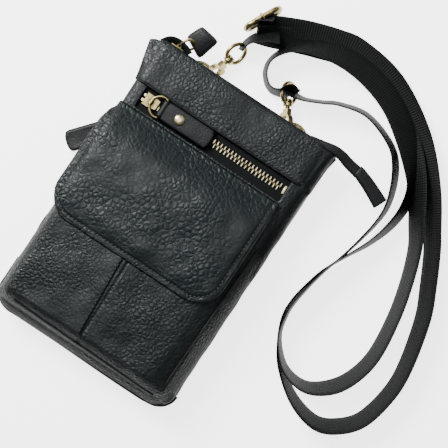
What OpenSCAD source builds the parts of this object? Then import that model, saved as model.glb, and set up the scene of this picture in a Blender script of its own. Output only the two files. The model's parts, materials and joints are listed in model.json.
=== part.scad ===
// Leather neck pouch with three zips, a magnetic flap and a webbing strap on two swivel clasps.
// It lies on its back: X runs across the pouch, Y towards its top zip, Z out of its front.

/* [Pouch] */
// Width of the pouch
body_w = 126; // [124:1:128]
// Distance from the origin to the bottom edge
bottom_y = 93; // [92:0.5:94]
// Distance from the origin to the top edge
top_y = 94; // [93.5:0.5:94.5]
// Depth of the main body
body_d = 22.8; // [22.8:0.1:23.4]
// Thickness of one leather layer
skin = 1.4; // [1.2:0.1:1.4]
// Radius of the bottom corners
corner_r = 13; // [10:1:16]

/* [Front pocket and flap] */
// Depth that the front pocket stands out of the body
pocket_d = 8.4; // [7:0.2:9]
// Width of the flap
flap_w = 116; // [112:1:118]
// Radius of the flap's lower corners
flap_r = 17; // [14:1:20]

/* [Zips] */
// Distance from one tooth to the next
tooth_pitch = 2.5; // [2.4:0.1:2.8]
// Width of a pull tab
tab_w = 11.4; // [10:0.2:11.6]

/* [Hardware] */
// Radius of the D-ring wire
ring_wire = 1; // [0.8:0.1:1]
// Thickness of the webbing
webbing_t = 2.4; // [2:0.2:2.6]

/* [Hidden] */
$fn = 48;
gap = 0.05;
half_w = body_w / 2;
back_lift = 3.4;
panel_in = 4.4;
top_back = 12;
top_gap = 8;
pocket_top = body_d + pocket_d;
pull_z = 3.05;
ring_reach = 8.5;
pull_wire = 0.7;
back_turn = 130;
front_zip = [-47, 59.5, body_d - skin - 0.35];
top_zip = [-52, top_y, top_back + skin + top_gap / 2];
back_zip = [-52, 43.5, panel_in + 0.35];
flap_hinge_y = 50;
flap_end_y = -26.5;
flap_z = pocket_top + 2;
flap_x = -8;
snap_at = [-8, -8];
keeper_x = [-33.5, 34.5];
ring_y = 88;
ring_z = 8.6;
ring_r = 9;
ring_tilt = -14;
clasp_z = 6;
loop_r = 5.7;
loop_hole_r = 4;
gate_pivot = [4, 4.2];
// Each clasp: X, Y, lean from +Y and roll of its loop.
LEFT = [-26.85, 96.45, 16, 30];
RIGHT = [26.6, 95.2, -28, -28];
adjuster_at = [-20, 140, 6.5];
adjuster_turn = 63.4;
leather = [0.13, 0.16, 0.17];
brass = [0.62, 0.57, 0.36];
cloth = [0.08, 0.09, 0.09];

// ---- shared shapes ----

// A prism along X whose profile is given in Y and Z.
module across(profile, x1, x2) {
  translate([x1, 0, 0]) rotate([90, 0, 90]) linear_extrude(x2 - x1) polygon(profile);
}

// A flat rectangle with rounded lower corners.
module rounded_bottom(x1, x2, y1, y2, r) {
  translate([x1, y1 + r]) square([x2 - x1, y2 - y1 - r]);
  translate([x1 + r, y1]) square([x2 - x1 - 2 * r, r + 1]);
  translate([x1 + r, y1 + r]) circle(r);
  translate([x2 - r, y1 + r]) circle(r);
}

// The outline of the body seen from the front, drawn in by inset.
module body_outline(inset) {
  rounded_bottom(-half_w + inset, half_w - inset, -bottom_y + inset, top_y, corner_r - inset);
}

// Height of the back panel's outer face at the points that shape it.
function back_points(lift) = [[-bottom_y, lift], [4, lift], [8, back_lift + lift], [54, back_lift + lift],
  [top_y, top_back + lift]];

// Inner face of the back panel.
function inner_points(lift) = [[-bottom_y, panel_in + lift], [54, panel_in + lift], [top_y, top_back + skin + lift]];

// Outer face of the front, drawn in by depth.
function front_points(depth) = [[-bottom_y, body_d - 9 - depth], [-bottom_y + 4, body_d - 3.5 - depth],
  [-bottom_y + 12, body_d - depth], [top_y, body_d - depth]];

function reversed(list) = [for (i = [len(list) - 1 : -1 : 0]) list[i]];

// The space between the back panel and the front skin, thinner by low and high.
module inner_space(low, high) {
  across(concat(inner_points(low), reversed(front_points(high))), -half_w - 8, half_w + 8);
}

// ---- pouch body ----

module back_panel() color(leather) difference() {
  intersection() {
    linear_extrude(30) body_outline(0);
    across(concat(back_points(0), reversed(inner_points(0))), -half_w, half_w);
  }
  translate([-58, 36.5, -1]) cube([107, 14, 9]);
}

module gusset() color(leather) intersection() {
  linear_extrude(40) difference() {
    body_outline(0);
    translate([0, 0.1]) body_outline(skin);
    translate([-half_w + skin, 0]) square([body_w - 2 * skin, top_y + 1]);
  }
  inner_space(gap, skin + gap);
}

module front_skin(y1, y2) intersection() {
  linear_extrude(40) body_outline(0);
  across(concat(front_points(skin), reversed(front_points(0))), -half_w, half_w);
  translate([-half_w, y1, 0]) cube([body_w, y2 - y1, 40]);
}

module front_panel() color(leather) difference() {
  front_skin(-bottom_y, 66);
  translate([-54, 52, 10]) cube([103, 20, 20]);
}

module top_band() color(leather) {
  translate([0, 0, body_d - skin])
    linear_extrude(skin) polygon([[-half_w, 66 + gap], [half_w, 66 + gap], [half_w + 1.5, top_y - 1],
      [half_w, top_y], [-half_w + 8, top_y], [-half_w - 5, top_y - 3]]);
}

module bag_of_cloth(wall) difference() {
  intersection() {
    linear_extrude(40) body_outline(skin + 0.3);
    inner_space(3, skin + 3);
    translate([-half_w, -bottom_y, 0]) cube([body_w, bottom_y + 50, 40]);
  }
  intersection() {
    linear_extrude(40) body_outline(skin + 0.3 + wall);
    inner_space(3 + wall, skin + 3 + wall);
  }
}

module main_lining() color(cloth) bag_of_cloth(0.4);

module tray(x1, x2, y1, y2, z1, z2, open_up) difference() {
  translate([x1, y1, z1]) cube([x2 - x1, y2 - y1, z2 - z1]);
  translate([x1 + 0.4, y1 + 0.4, z1 + (open_up ? 0.4 : -1)]) cube([x2 - x1 - 0.8, y2 - y1 - 0.8, z2 - z1 + 0.6]);
}

module back_pocket_lining() color(cloth) tray(-58.5, 54, -60, 53, panel_in + gap, panel_in + 2.9, false);
module front_pocket_lining() color(cloth)
  tray(-56, 53, -60, 70, body_d - skin - 2.95, body_d - skin - gap, true);

// ---- front pocket ----

// Outer form of the pocket: it narrows towards its face, most on the right.
module pocket_form(inset, top) intersection() {
  translate([0, 24, 0]) rotate([90, 0, 0]) linear_extrude(112)
    polygon([[-61 + inset, body_d], [61 - inset, body_d], [45 - inset, top], [-60 + inset, top]]);
  across([[-86 + inset, body_d], [24, body_d], [24, top], [-82 + inset, top]], -70, 70);
}

module pocket_walls(top) difference() {
  pocket_form(0, top);
  pocket_form(skin, top + 0.01);
}

module pocket_gusset() color(leather) difference() {
  translate([0, 0, gap]) pocket_walls(pocket_top);
  translate([-80, -100, pocket_top - skin - gap]) cube([160, 160, 10]);
}

module pocket_face() color(leather) difference() {
  translate([0, 0, pocket_top - skin]) linear_extrude(skin) rounded_bottom(-60, 45, -82, 24, 6);
  translate([snap_at[0], snap_at[1], 0]) cylinder(h = 60, r = 3.4);
}

module snap_socket() color(brass) translate([snap_at[0], snap_at[1], pocket_top - 1.2]) difference() {
  union() {
    cylinder(h = 1.9, r = 3.3);
    translate([0, 0, 1.25]) cylinder(h = 0.7, r = 7);
  }
  translate([0, 0, 0.6]) cylinder(h = 3, r = 2.2);
}

module snap_stud() color(brass) translate([snap_at[0], snap_at[1], flap_z - 0.75]) {
  cylinder(h = 0.7, r = 7);
  translate([0, 0, -1.1]) cylinder(h = 1.1, r = 2.1);
}

// Side view of a layer of the flap: down at its sewn edge, flat over the pocket.
function flap_layer(low, high) = [[flap_hinge_y, body_d + 0.3 + low], [flap_hinge_y, body_d + 0.3 + high],
  [28, flap_z + high], [flap_end_y, flap_z + high], [flap_end_y, flap_z + low], [28, flap_z + low]];

module flap_sheet(low, high, inset) intersection() {
  across(flap_layer(low, high), -90, 90);
  linear_extrude(60)
    rounded_bottom(flap_x - flap_w / 2 + inset, flap_x + flap_w / 2 - inset, flap_end_y + inset, flap_hinge_y,
      flap_r - inset);
}

// The flap's leather ends in a rolled edge, which is the line that it turns on.
module flap() color(leather) {
  flap_sheet(0.65, 2, 0);
  translate([flap_x - flap_w / 2, flap_hinge_y, body_d + 2.4]) rotate([0, 90, 0]) cylinder(h = flap_w, r = 0.7);
}
module flap_lining() color(cloth) flap_sheet(0, 0.6, 2);

// ---- zips, drawn along +X from the slider at the origin, with the outside towards +Z ----

module chain_frame(at, turn) translate(at) rotate(turn) children();
module front_frame() chain_frame(front_zip, [0, 0, 0]) children();
module top_frame() chain_frame(top_zip, [-90, 0, 0]) children();
module back_frame() chain_frame(back_zip, [180, 0, 0]) children();

module tape(x1, x2, reach) for (side = [-1, 1])
  translate([x1, side > 0 ? 0.45 : -reach, -0.25]) cube([x2 - x1, reach - 0.45, 0.5]);

module teeth(x1, count) for (i = [0 : count - 1], side = [-1, 1])
  translate([x1 + i * tooth_pitch + (side > 0 ? tooth_pitch / 2 : 0), 0, 0])
    for (level = [0.3, -0.95]) translate([-0.6, side > 0 ? 0.5 : -3.2, level]) cube([1.2, 2.7, 0.65]);

module stops(x1, x2) {
  for (side = [-1, 1]) translate([x1 - 0.8, side > 0 ? 0.6 : -2.6, 0.3]) cube([1.6, 2, 0.8]);
  translate([x2 - 0.8, -2.6, 0.3]) cube([1.6, 5.2, 0.8]);
}

module slider(crown_turn) color(brass) difference() {
  union() {
    for (level = [1.2, -1.9]) translate([0, 0, level]) linear_extrude(0.7)
      polygon([[-4.5, -3.9], [-1, -3.9], [4.2, -2.9], [4.5, 2.9], [-1, 3.9], [-4.5, 3.9]]);
    translate([-4.3, -0.35, -1.3]) cube([2.6, 0.7, 2.6]);
    rotate(crown_turn) {
      translate([-1.3, -1.5, 1.8]) cube([2.6, 3, pull_z - 1.8]);
      translate([0, 1.5, pull_z]) rotate([90, 0, 0]) cylinder(h = 3, r = 1.3);
    }
  }
  rotate(crown_turn) translate([0, 3, pull_z]) rotate([90, 0, 0]) cylinder(h = 6, r = pull_wire + gap);
}

// A wire ring that turns on the bar through the slider's crown and holds the tab on its far bar.
module bar(a, b, r) {
  d = b - a;
  translate(a) rotate([0, acos(d[2] / norm(d)), atan2(d[1], d[0])]) cylinder(h = norm(d), r = r);
}

module pull_ring(half) color(brass) translate([0, 0, pull_z]) {
  bar([0, -2.7, 0], [0, 2.7, 0], pull_wire);
  bar([ring_reach, -half - 0.4, 0], [ring_reach, half + 0.4, 0], pull_wire);
  for (side = [-1, 1]) {
    bar([-0.3, side * 2, 0], [3.3, side * (half + 0.2), 0], pull_wire * 0.96);
    bar([2.6, side * half, 0], [ring_reach + 0.4, side * half, 0], pull_wire * 0.92);
  }
}

module pull_tab(length, width, rivet) color(leather) translate([ring_reach, 0, pull_z]) difference() {
  union() {
    rotate([90, 0, 0]) translate([0, 0, -width / 2]) cylinder(h = width, r = 1.65);
    translate([0.5, -width / 2, -1]) cube([length, width, 2]);
  }
  rotate([90, 0, 0]) translate([0, 0, -width]) cylinder(h = 2 * width, r = pull_wire + gap);
  if (rivet) translate([11.5, 0, -3]) cylinder(h = 6, r = 1.5);
}

module tab_rivet(cap) color(brass) translate([ring_reach + 11.5, 0, pull_z]) {
  translate([0, 0, -1]) cylinder(h = 2.05, r = 1.45);
  translate([0, 0, 1.05]) cylinder(h = cap, r = 3.2);
}

module front_zip_tape() color(cloth) front_frame() tape(-8, 98, 7.5);
module front_zip_teeth() color(brass) front_frame() teeth(-2, 38);
module front_zip_stops() color(brass) front_frame() stops(-5.4, 95);
module front_zip_slider() front_frame() slider(0);
module front_pull_ring() front_frame() pull_ring(6.6);
module front_pull_tab() front_frame() pull_tab(34, tab_w, true);
module front_tab_rivet() front_frame() tab_rivet(0.8);

module top_zip_tape() color(cloth) top_frame() tape(-7, 112, top_gap / 2 - 0.1);
module top_zip_teeth() color(brass) top_frame() teeth(-2, 44);
module top_zip_stops() color(brass) top_frame() stops(-5.3, 110);
module top_zip_slider() top_frame() slider(0);

// The top pull leans up and to the right, away from the pouch.
module top_pull_frame() top_frame() translate([0, 0, pull_z]) rotate([0, -62, 0])
  translate([0, 0, -pull_z]) children();
module top_pull_ring() top_pull_frame() pull_ring(4.2);
module top_pull_tab() top_pull_frame() pull_tab(19, 6.6, false);

module top_zip_tail() color(cloth) translate([half_w + 2, top_y - 4, top_zip[2]]) {
  rotate([0, 0, 3]) translate([0, 0, -1.5]) cube([16, 6.5, 3]);
}

module tail_end_tab() color(leather) translate([half_w + 19, top_y - 3, top_zip[2] - 2]) rotate([0, 0, -16])
  cube([20, 7, 4]);

module back_zip_tape() color(cloth) back_frame() tape(-3, 102, 8.5);
module back_zip_teeth() color(brass) back_frame() teeth(-1, 38);
module back_zip_stops() color(brass) back_frame() stops(-5, 97);
module back_zip_slider() back_frame() slider(back_turn);

// The back pull lies down and to the left, so its tab shows beside the pouch.
module back_pull_frame() back_frame() rotate(back_turn) children();
module back_pull_ring() back_pull_frame() pull_ring(6.6);
module back_pull_tab() back_pull_frame() pull_tab(33, tab_w, true);
module back_tab_rivet() back_pull_frame() tab_rivet(0.3);

// ---- D-rings ----

module ring_frame(x) translate([x, ring_y, ring_z]) rotate([ring_tilt, 0, 0]) children();

module dring(x) color(brass) ring_frame(x) {
  bar([-ring_r - 0.5, 0, 0], [ring_r + 0.5, 0, 0], ring_wire);
  for (side = [-1, 1]) bar([side * ring_r, -0.4, 0], [side * ring_r, 1.4, 0], ring_wire * 0.93);
  translate([0, 1, 0]) rotate_extrude(angle = 180) translate([ring_r, 0]) circle(ring_wire);
}

module keeper(x) color(leather) translate([x, ring_y, ring_z]) difference() {
  union() {
    rotate([0, 90, 0]) translate([0, 0, -7]) cylinder(h = 14, r = ring_wire + 0.9);
    rotate([12, 0, 0]) translate([-6.8, -13, -0.2]) cube([13.6, 11.5, 1.6]);
  }
  rotate([0, 90, 0]) translate([0, 0, -10]) cylinder(h = 20, r = ring_wire + gap);
}

module dring_left() dring(keeper_x[0]);
module dring_right() dring(keeper_x[1]);
module keeper_left() keeper(keeper_x[0]);
module keeper_right() keeper(keeper_x[1]);

// ---- swivel clasps: drawn with the pull along +Y and the loop's centre at the origin ----

module clasp_frame(c) translate([c[0], c[1], clasp_z]) rotate([0, 0, -c[2]]) children();
module hook_frame(c) clasp_frame(c) rotate([0, 90 - c[3], 0]) children();
module eye_frame(c) clasp_frame(c) rotate([0, 50, 0]) children();

module hook(c) color(brass) hook_frame(c) difference() {
  union() {
    translate([0, 0, -1.5]) linear_extrude(3) difference() {
      union() {
        circle(loop_r);
        translate([-2.6, 3]) square([5.2, 5.4]);
        translate(gate_pivot) circle(1.9);
      }
      circle(loop_hole_r);
      polygon([[1.5, 1.5], [9, 0.2], [9, -4.5], [1.5, -2]]);
    }
    translate([0, 8.2, 0]) rotate([-90, 0, 0]) cylinder(h = 6.2, r = 1.5);
    translate([0, 13.1, 0]) rotate([-90, 0, 0]) cylinder(h = 1.3, r = 2.4);
  }
  translate([gate_pivot[0], gate_pivot[1], -1.1]) cylinder(h = 2.2, r = 2.6);
  translate([gate_pivot[0] - 1.6, 0, -1.1]) cube([4, gate_pivot[1], 2.2]);
  translate([gate_pivot[0], gate_pivot[1], -3]) cylinder(h = 6, r = 0.62);
}

module gate(c) color(brass) hook_frame(c) translate([0, 0, -1]) difference() {
  union() {
    linear_extrude(2) difference() {
      intersection() {
        circle(loop_r - 0.1);
        polygon([[2, -1.9], [9, -3.6], [9, 3], [gate_pivot[0], 3.6], [2, 3]]);
      }
      circle(loop_hole_r + 0.1);
    }
    translate([gate_pivot[0], gate_pivot[1], 0]) cylinder(h = 2, r = 1.5);
  }
  translate([gate_pivot[0], gate_pivot[1], -1]) cylinder(h = 4, r = 0.65);
}

module gate_pin(c) color(brass) hook_frame(c)
  translate([gate_pivot[0], gate_pivot[1], -1.6]) cylinder(h = 3.2, r = 0.6);

module eye(c) color(brass) eye_frame(c) {
  difference() {
    translate([0, 9.9, 0]) rotate([-90, 0, 0]) cylinder(h = 2.8, r = 3);
    translate([0, 9, 0]) rotate([-90, 0, 0]) cylinder(h = 6, r = 1.55);
  }
  for (side = [-1, 1]) {
    bar([side * 2.3, 11.3, 0], [side * 6.4, 13.2, 0], 0.9);
    bar([side * 6, 12.4, 0], [side * 6, 18.3, 0], 0.93);
  }
  translate([0, 18, 0]) rotate_extrude(angle = 180) translate([6, 0]) circle(1);
}

// Webbing turned round the far side of an eye.
module eye_webbing(c, length) color(cloth) eye_frame(c) difference() {
  translate([-4, 20.5, -1.9]) cube([8, length, 3.8]);
  translate([0, 18, -1.1]) cylinder(h = 2.2, r = 7.2);
}

module hook_left() hook(LEFT);
module hook_right() hook(RIGHT);
module gate_left() gate(LEFT);
module gate_right() gate(RIGHT);
module gate_pin_left() gate_pin(LEFT);
module gate_pin_right() gate_pin(RIGHT);
module eye_left() eye(LEFT);
module eye_right() eye(RIGHT);
module strap_end_left() eye_webbing(LEFT, 8);
module strap_turn_right() eye_webbing(RIGHT, 7);

// ---- adjuster and strap ----

module adjuster_axes() translate(adjuster_at) rotate([0, 0, adjuster_turn]) rotate([90, 0, 0]) children();

module adjuster_frame() color(brass) adjuster_axes() difference() {
  union() {
    for (side = [-1, 1]) {
      bar([-7, side * 4.9, 0], [7, side * 4.9, 0], 1.4);
      translate([side * 7, 0, 0]) rotate([0, 0, side > 0 ? -90 : 90])
        rotate_extrude(angle = 180) translate([4.9, 0]) circle(1.4);
    }
    bar([-11, 0, 0], [11, 0, 0], 1.1);
  }
}

module strap_anchor_loop() color(cloth) adjuster_axes() difference() {
  union() {
    rotate([0, 90, 0]) translate([0, 0, -7.5]) cylinder(h = 15, r = 2.2);
    translate([-7.5, -1.2, 0]) cube([15, 2.4, 7]);
  }
  rotate([0, 90, 0]) translate([0, 0, -9]) cylinder(h = 18, r = 1.1 + gap);
}

// Point and tangent on a smooth curve through the guide points.
function spline(p, i, t) = 0.5 * ((2 * p[i]) + (p[i + 1] - p[i - 1]) * t
  + (2 * p[i - 1] - 5 * p[i] + 4 * p[i + 1] - p[i + 2]) * t * t
  + (3 * p[i] - p[i - 1] - 3 * p[i + 1] + p[i + 2]) * t * t * t);
function samples(p) = [for (i = [1 : len(p) - 3], k = [0 : 3]) spline(p, i, k / 4)];
function side_points(line, half) = [for (i = [1 : len(line) - 2])
  let (d = line[i + 1] - line[i - 1]) line[i] + half / norm(d) * [-d[1], d[0]]];

module strand(guide, width, level) {
  line = samples(guide);
  translate([0, 0, level]) linear_extrude(webbing_t)
    polygon(concat(side_points(line, width / 2), reversed(side_points(line, -width / 2))));
}

outer_strand = [[-2, 146], [4, 148], [20, 153], [40, 156], [66, 151.5], [97, 133], [122, 108], [144, 78],
  [159, 46], [169, 12], [170, -12], [160, -35], [143, -47], [122, -44], [103, -31], [90, -12], [87, 8],
  [93, 34], [102, 54]];
inner_strand = [[-2, 146], [6, 148], [36, 154], [64, 150], [92, 132], [113, 110], [130, 80], [143, 46],
  [149, 8], [141, -20], [124, -33], [107, -29], [93, -12], [88, 8], [93, 32], [100, 52], [105.5, 74],
  [104, 92], [94, 112], [80, 123], [64, 126], [46, 121], [31, 115], [24, 111]];
return_strand = [[93, 34], [102, 54], [112, 75], [114.5, 92], [110, 112], [98, 127], [84, 138], [68, 145],
  [50, 148], [32, 147], [15, 141], [4, 131], [-1, 121], [1, 111], [7, 106], [13, 105]];

module strap_webbing() color(cloth) {
  strand(outer_strand, 7, gap);
  strand(inner_strand, 7, webbing_t + 2 * gap);
  strand(return_strand, 5, 2 * webbing_t + 3 * gap);
}

back_panel();
gusset();
front_panel();
top_band();
main_lining();
back_pocket_lining();
front_pocket_lining();
pocket_face();
pocket_gusset();
flap();
flap_lining();
snap_stud();
snap_socket();
front_zip_tape();
front_zip_teeth();
front_zip_stops();
front_zip_slider();
front_pull_ring();
front_pull_tab();
front_tab_rivet();
top_zip_tape();
top_zip_teeth();
top_zip_stops();
top_zip_slider();
top_pull_ring();
top_pull_tab();
top_zip_tail();
tail_end_tab();
back_zip_tape();
back_zip_teeth();
back_zip_stops();
back_zip_slider();
back_pull_ring();
back_pull_tab();
back_tab_rivet();
keeper_left();
keeper_right();
dring_left();
dring_right();
hook_left();
hook_right();
gate_left();
gate_right();
gate_pin_left();
gate_pin_right();
eye_left();
eye_right();
strap_end_left();
strap_turn_right();
adjuster_frame();
strap_anchor_loop();
strap_webbing();
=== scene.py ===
"""The looks of a leather neck pouch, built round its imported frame.

Lengths are in millimetres until a mesh is made. X runs right, Y to the top edge and Z out of the front.
"""
import json
import math
import bmesh
import bpy
import numpy as np
from mathutils import Matrix, Vector, noise


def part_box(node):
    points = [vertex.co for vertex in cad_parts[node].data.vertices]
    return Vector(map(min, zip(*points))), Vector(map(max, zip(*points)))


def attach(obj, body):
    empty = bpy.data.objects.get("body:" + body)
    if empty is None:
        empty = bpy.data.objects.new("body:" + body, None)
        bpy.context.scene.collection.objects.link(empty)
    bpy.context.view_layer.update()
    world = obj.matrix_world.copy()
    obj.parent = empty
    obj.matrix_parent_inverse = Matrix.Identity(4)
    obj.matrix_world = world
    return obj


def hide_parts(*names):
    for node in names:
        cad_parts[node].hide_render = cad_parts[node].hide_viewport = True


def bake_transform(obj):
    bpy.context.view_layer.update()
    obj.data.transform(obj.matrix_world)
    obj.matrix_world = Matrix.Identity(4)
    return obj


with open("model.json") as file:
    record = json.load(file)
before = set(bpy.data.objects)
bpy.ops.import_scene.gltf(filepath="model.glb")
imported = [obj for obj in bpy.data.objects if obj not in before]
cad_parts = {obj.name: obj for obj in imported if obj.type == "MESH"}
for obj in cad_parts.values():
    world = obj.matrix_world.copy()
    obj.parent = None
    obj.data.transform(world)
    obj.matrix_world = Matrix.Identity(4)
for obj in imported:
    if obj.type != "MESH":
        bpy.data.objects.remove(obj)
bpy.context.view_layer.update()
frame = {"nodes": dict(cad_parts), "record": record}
MM = 0.001

# ---- places taken from the frame ----


def box_mm(node):
    low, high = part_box(node)
    return np.array(low) / MM, np.array(high) / MM


BODY_LOW, BODY_HIGH = box_mm("gusset")
HALF_W = BODY_HIGH[0]
BOTTOM, TOP = BODY_LOW[1], BODY_HIGH[1]
FRONT_Z = box_mm("front_panel")[1][2]
FLAP_LOW, FLAP_HIGH = box_mm("flap")
FACE_Z = box_mm("pocket_face")[1][2]
BACK_TOP_Z = 12.0
WALL = 1.4
CORNER_R = 13.0


# ---- materials ----


class Shader:
    """A short way to write node trees."""

    def __init__(self, name):
        self.material = bpy.data.materials.new(name)
        self.material.use_nodes = True
        self.tree = self.material.node_tree
        self.bsdf = self.tree.nodes["Principled BSDF"]

    def node(self, kind, inputs=None, **settings):
        made = self.tree.nodes.new("ShaderNode" + kind)
        for key, value in settings.items():
            setattr(made, key, value)
        for key, value in (inputs or {}).items():
            self.put(made.inputs[key], value)
        return made

    def put(self, socket, value):
        if isinstance(value, bpy.types.NodeSocket):
            self.tree.links.new(value, socket)
        else:
            socket.default_value = value

    def set(self, **values):
        for key, value in values.items():
            self.put(self.bsdf.inputs[key.replace("_", " ")], value)

    def math(self, operation, a, b=0.0):
        made = self.node("Math", operation=operation)
        self.put(made.inputs[0], a)
        self.put(made.inputs[1], b)
        return made.outputs[0]

    def ramp(self, value, low, high, to_low=0.0, to_high=1.0):
        made = self.node("MapRange", {"Value": value, "From Min": low, "From Max": high,
                                      "To Min": to_low, "To Max": to_high})
        made.clamp = True
        return made.outputs["Result"]

    def mix(self, factor, a, b):
        made = self.node("Mix", data_type="RGBA")
        self.put(made.inputs[0], factor)
        self.put(made.inputs[6], a)
        self.put(made.inputs[7], b)
        return made.outputs[2]

    def bump(self, height, distance, strength=1.0, normal=None):
        made = self.node("Bump", {"Height": height, "Distance": distance, "Strength": strength})
        if normal is not None:
            self.put(made.inputs["Normal"], normal)
        return made.outputs[0]

    def painted_side_shade(self, low, high, least):
        """Painted-shade factor: 1 where the surface faces up, falling to least on its sides."""
        parts = self.node("SeparateXYZ", {"Vector": self.node("NewGeometry").outputs["Normal"]})
        return self.ramp(parts.outputs["Z"], low, high, least, 1.0)

    def place(self):
        return self.node("TexCoord").outputs["Object"]


def leather(name, dark, light, cell=2.6, depth=0.35, rough=0.42):
    """Pebbled leather: rounded cells with creases between them, a fine pore grain and broad tone changes,
    with painted shade in the creases and on the sides that turn away from up.
    """
    s = Shader(name)
    place = s.place()
    warp = s.node("TexNoise", {"Vector": place, "Scale": 160.0, "Detail": 2.0})
    shift = s.node("VectorMath", operation="SCALE")
    s.put(shift.inputs[0], warp.outputs["Color"])
    s.put(shift.inputs["Scale"], 0.0022)
    moved = s.node("VectorMath", operation="ADD")
    s.put(moved.inputs[0], place)
    s.put(moved.inputs[1], shift.outputs[0])
    cells = s.node("TexVoronoi", {"Vector": moved.outputs[0], "Scale": 1000.0 / cell},
                   feature="DISTANCE_TO_EDGE")
    crease = s.ramp(cells.outputs["Distance"], 0.0, 0.42)
    crease = s.math("POWER", crease, 0.7)
    pores = s.node("TexNoise", {"Vector": place, "Scale": 2600.0, "Detail": 3.0})
    broad = s.node("TexNoise", {"Vector": place, "Scale": 26.0, "Detail": 3.0})
    reach = s.ramp(broad.outputs[0], 0.35, 0.65, 0.2, 1.0)
    first = s.bump(s.math("MULTIPLY", crease, reach), depth * MM, 0.9)
    normal = s.bump(pores.outputs[0], 0.06 * MM, 0.6, first)
    # Painted shade: the colour darkens in the creases between the pebbles.
    crease_shade = s.ramp(crease, 0.0, 1.0, 0.5, 1.0)
    tone = s.math("MULTIPLY", crease_shade, s.ramp(broad.outputs[0], 0.3, 0.7, 0.55, 1.0))
    # Painted shade: the colour darkens on the sides that turn away from up.
    tone = s.math("MULTIPLY", tone, s.painted_side_shade(0.6, 0.98, 0.05))
    s.set(Base_Color=s.mix(tone, (*dark, 1), (*light, 1)), Normal=normal,
          Roughness=s.ramp(crease, 0.0, 1.0, rough + 0.22, rough))
    # Painted shade: the highlights weaken on the same sides.
    s.set(Specular_IOR_Level=s.math("MULTIPLY", s.painted_side_shade(0.55, 0.97, 0.15), 0.34))
    return s.material


def weave(name, dark, light, pitch, depth, rough=0.85):
    """Woven cloth: two crossed sets of threads."""
    s = Shader(name)
    place = s.place()
    waves = []
    for axis in "XY":
        wave = s.node("TexWave", {"Vector": place, "Scale": math.pi / (10 * pitch * MM), "Distortion": 0.6},
                      bands_direction=axis)
        waves.append(wave.outputs["Fac"])
    height = s.math("MULTIPLY", waves[0], waves[1])
    fuzz = s.node("TexNoise", {"Vector": place, "Scale": 900.0, "Detail": 3.0})
    tone = s.math("MULTIPLY", height, s.ramp(fuzz.outputs[0], 0.3, 0.7, 0.5, 1.0))
    s.set(Base_Color=s.mix(tone, (*dark, 1), (*light, 1)), Roughness=rough,
          Normal=s.bump(height, depth * MM), Specular_IOR_Level=0.2)
    return s.material


RIB_PITCH = 1.5
LINES_ACROSS = 11


def ribbed_webbing(name, dark, light):
    """Nylon webbing: ribs across the strap and lines along it, placed by the strap's own coordinates."""
    s = Shader(name)
    uv = s.node("UVMap", uv_map="strap")
    parts = s.node("SeparateXYZ", {"Vector": uv.outputs[0]})
    along = parts.outputs["Y"]
    across = parts.outputs["X"]
    ribs = s.math("SINE", s.math("MULTIPLY", along, 2 * math.pi / RIB_PITCH))
    lines = s.math("SINE", s.math("MULTIPLY", across, 2 * math.pi * LINES_ACROSS))
    height = s.math("ADD", s.ramp(ribs, -1.0, 1.0), s.ramp(lines, -1.0, 1.0, 0.0, 0.45))
    fuzz = s.node("TexNoise", {"Vector": s.place(), "Scale": 1500.0, "Detail": 3.0})
    wear = s.node("TexNoise", {"Vector": s.place(), "Scale": 35.0, "Detail": 2.0})
    tone = s.math("MULTIPLY", s.ramp(height, 0.1, 1.4), s.ramp(fuzz.outputs[0], 0.3, 0.7, 0.55, 1.0))
    tone = s.math("MULTIPLY", tone, s.ramp(wear.outputs[0], 0.3, 0.7, 0.6, 1.0))
    s.set(Base_Color=s.mix(tone, (*dark, 1), (*light, 1)), Roughness=0.6,
          Normal=s.bump(height, 0.16 * MM), Specular_IOR_Level=0.14)
    return s.material


def metal(name, dark, light, rough):
    """Antique brass: bright where it is rubbed, tarnished in its hollows."""
    s = Shader(name)
    place = s.place()
    cloud = s.node("TexNoise", {"Vector": place, "Scale": 260.0, "Detail": 4.0})
    fine = s.node("TexNoise", {"Vector": place, "Scale": 2200.0, "Detail": 2.0})
    hollow = s.node("AmbientOcclusion", {"Distance": 1.6 * MM}, samples=4)
    open_part = s.ramp(hollow.outputs["AO"], 0.35, 0.95)
    tone = s.math("MULTIPLY", open_part, s.ramp(cloud.outputs[0], 0.3, 0.62, 0.45, 1.0))
    s.set(Base_Color=s.mix(tone, (*dark, 1), (*light, 1)), Metallic=1.0,
          Roughness=s.ramp(fine.outputs[0], 0.3, 0.7, rough, rough + 0.16),
          Normal=s.bump(fine.outputs[0], 0.03 * MM, 0.5))
    return s.material


def thread_material():
    """Twisted thread."""
    s = Shader("stitching_thread")
    twist = s.node("TexWave", {"Vector": s.place(), "Scale": 700.0, "Distortion": 1.0},
                   bands_direction="DIAGONAL")
    s.set(Base_Color=s.mix(twist.outputs["Fac"], (0.006, 0.007, 0.008, 1), (0.03, 0.034, 0.036, 1)),
          Roughness=0.6, Normal=s.bump(twist.outputs["Fac"], 0.08 * MM))
    return s.material


def floor_material():
    """White paper, lit from within so that it stays pale round the dark pouch."""
    s = Shader("paper_floor")
    tone = s.node("TexNoise", {"Vector": s.place(), "Scale": 6.0, "Detail": 2.0})
    s.set(Base_Color=s.mix(tone.outputs[0], (0.92, 0.92, 0.92, 1), (0.95, 0.95, 0.95, 1)), Roughness=0.9,
          Emission_Color=(1, 1, 1, 1), Emission_Strength=3.2, Specular_IOR_Level=0.0)
    return s.material


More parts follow.
